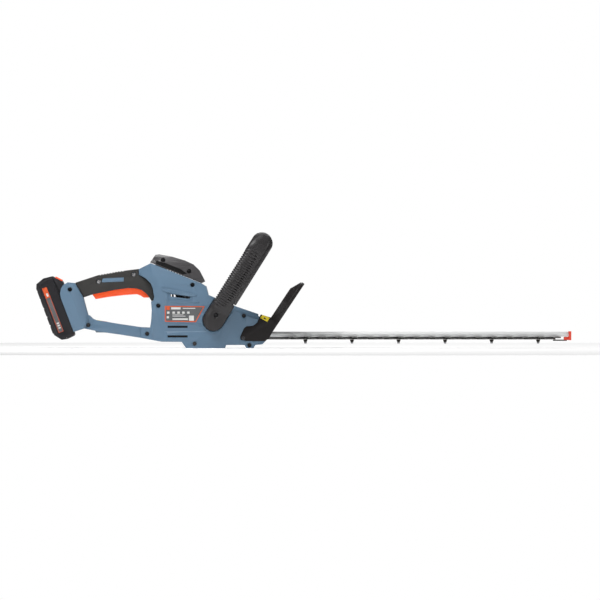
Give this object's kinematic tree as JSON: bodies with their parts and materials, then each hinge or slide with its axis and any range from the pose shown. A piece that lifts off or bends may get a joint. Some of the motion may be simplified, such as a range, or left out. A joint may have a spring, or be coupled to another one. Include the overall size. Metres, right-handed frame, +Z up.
{
  "type": "cordless hedge trimmer",
  "caption": "Cordless hedge trimmer with a rear D handle, a loop front handle with a switch lever, a hand guard and double-sided reciprocating blades under a guide bar.",
  "frame": {"origin": "bottom centre of the part's box, on the plane that the foot's sole rests on", "axes": "+X along the blade towards its tip, +Z up, -Y the side with the screw heads. Y = 0 is the mould split plane"},
  "size_m": [0.988, 0.17, 0.2137],
  "materials": {
    "blue_plastic": "moulded, fine texture",
    "black_plastic": "moulded, satin",
    "soft_grip": "matt overmould",
    "orange_plastic": "moulded, satin",
    "red_plastic": "moulded, satin",
    "dark_steel": "blackened, ground edges",
    "bright_metal": "brushed",
    "screw_steel": "zinc black",
    "cast_metal": "die cast",
    "spring_steel": "drawn wire",
    "board_green": "solder mask",
    "cell_wrap": "shrink wrap over metal cans"
  },
  "bodies": {
    "tool": {"housing_left": "blue_plastic", "housing_right": "blue_plastic", "rear_grip_left": "soft_grip", "rear_grip_right": "soft_grip", "top_cover_left": "black_plastic", "top_cover_right": "black_plastic", "hand_guard": "black_plastic", "front_handle": "soft_grip", "trigger_switch": "black_plastic", "trigger_spring": "spring_steel", "terminal_block": "black_plastic", "control_board": "board_green", "motor_can": "cast_metal", "gear_case": "cast_metal", "gear_plate": "bright_metal", "gear_shaft": "bright_metal", "guide_bar": "bright_metal", "tip_guard": "red_plastic", "body_screw_1": "screw_steel", "body_screw_2": "screw_steel", "body_screw_3": "screw_steel", "body_screw_4": "screw_steel", "body_screw_5": "screw_steel", "body_screw_6": "screw_steel", "body_screw_7": "screw_steel", "body_screw_8": "screw_steel", "grip_screw_1": "screw_steel", "grip_screw_2": "screw_steel", "cover_screw_1": "screw_steel", "cover_screw_2": "screw_steel", "handle_screw_left": "screw_steel", "handle_screw_right": "screw_steel", "guard_screw_left": "screw_steel", "guard_screw_right": "screw_steel", "blade_bolt_1": "screw_steel", "blade_bolt_2": "screw_steel", "blade_bolt_3": "screw_steel", "blade_bolt_4": "screw_steel", "blade_bolt_5": "screw_steel", "blade_bolt_6": "screw_steel", "lock_nut_1": "screw_steel", "lock_nut_2": "screw_steel", "lock_nut_3": "screw_steel", "lock_nut_4": "screw_steel", "lock_nut_5": "screw_steel", "lock_nut_6": "screw_steel"},
    "trigger": {"trigger": "orange_plastic"},
    "plunger": {"switch_plunger": "red_plastic"},
    "switch_lever": {"front_switch_lever": "black_plastic"},
    "battery": {"battery_case": "black_plastic", "battery_rail_cover": "black_plastic", "battery_cells": "cell_wrap"},
    "latch": {"battery_latch": "orange_plastic"},
    "rotor": {"motor_rotor": "screw_steel", "cooling_fan": "black_plastic"},
    "gear": {"drive_gear": "cast_metal", "eccentric_cam": "dark_steel"},
    "upper_blade": {"upper_blade": "dark_steel"},
    "lower_blade": {"lower_blade": "dark_steel"}
  },
  "joints": [
    {"name": "trigger_squeeze", "type": "hinge", "parent": "tool", "child": "trigger", "pos_m": [-0.30046, 0, 0.115], "axis": [0, 1, 0], "range_deg": [0, 3.5], "stiffness_Nm_per_rad": 4, "springref_deg": -4.58, "deforming": ["trigger_spring"]},
    {"name": "plunger_press", "type": "slide", "parent": "tool", "child": "plunger", "axis": [0, 0, 1], "range_m": [0, 0.0022]},
    {"name": "lever_squeeze", "type": "hinge", "parent": "tool", "child": "switch_lever", "pos_m": [-0.12987, 0, 0.08586], "axis": [0, -1, 0], "range_deg": [0, 2.5], "stiffness_Nm_per_rad": 5, "springref_deg": -3.44},
    {"name": "battery_slide", "type": "slide", "parent": "tool", "child": "battery", "axis": [-0.3584, 0, 0.9336], "range_m": [0, 0.115]},
    {"name": "latch_press", "type": "slide", "parent": "battery", "child": "latch", "axis": [-0.454, 0, -0.891], "range_m": [0, 0.003], "stiffness_N_per_m": 1500, "springref_m": -0.002},
    {"name": "gear_spin", "type": "hinge", "parent": "tool", "child": "gear", "pos_m": [-0.18246, 0, 0.02], "axis": [0, 0, 1], "continuous": true},
    {"name": "rotor_spin", "type": "hinge", "parent": "tool", "child": "rotor", "pos_m": [-0.21446, 0, 0.02], "axis": [0, 0, 1], "continuous": true},
    {"name": "upper_blade_stroke", "type": "slide", "parent": "tool", "child": "upper_blade", "axis": [1, 0, 0], "range_m": [-0.005, 0.005]},
    {"name": "lower_blade_stroke", "type": "slide", "parent": "tool", "child": "lower_blade", "axis": [1, 0, 0], "range_m": [-0.005, 0.005]}
  ],
  "couplings": [
    {"joint": "plunger_press", "follows": "trigger_squeeze", "m_per_rad": 0.034},
    {"joint": "rotor_spin", "follows": "gear_spin", "ratio": -4.3333},
    {"joint": "lower_blade_stroke", "follows": "upper_blade_stroke", "ratio": -1}
  ]
}
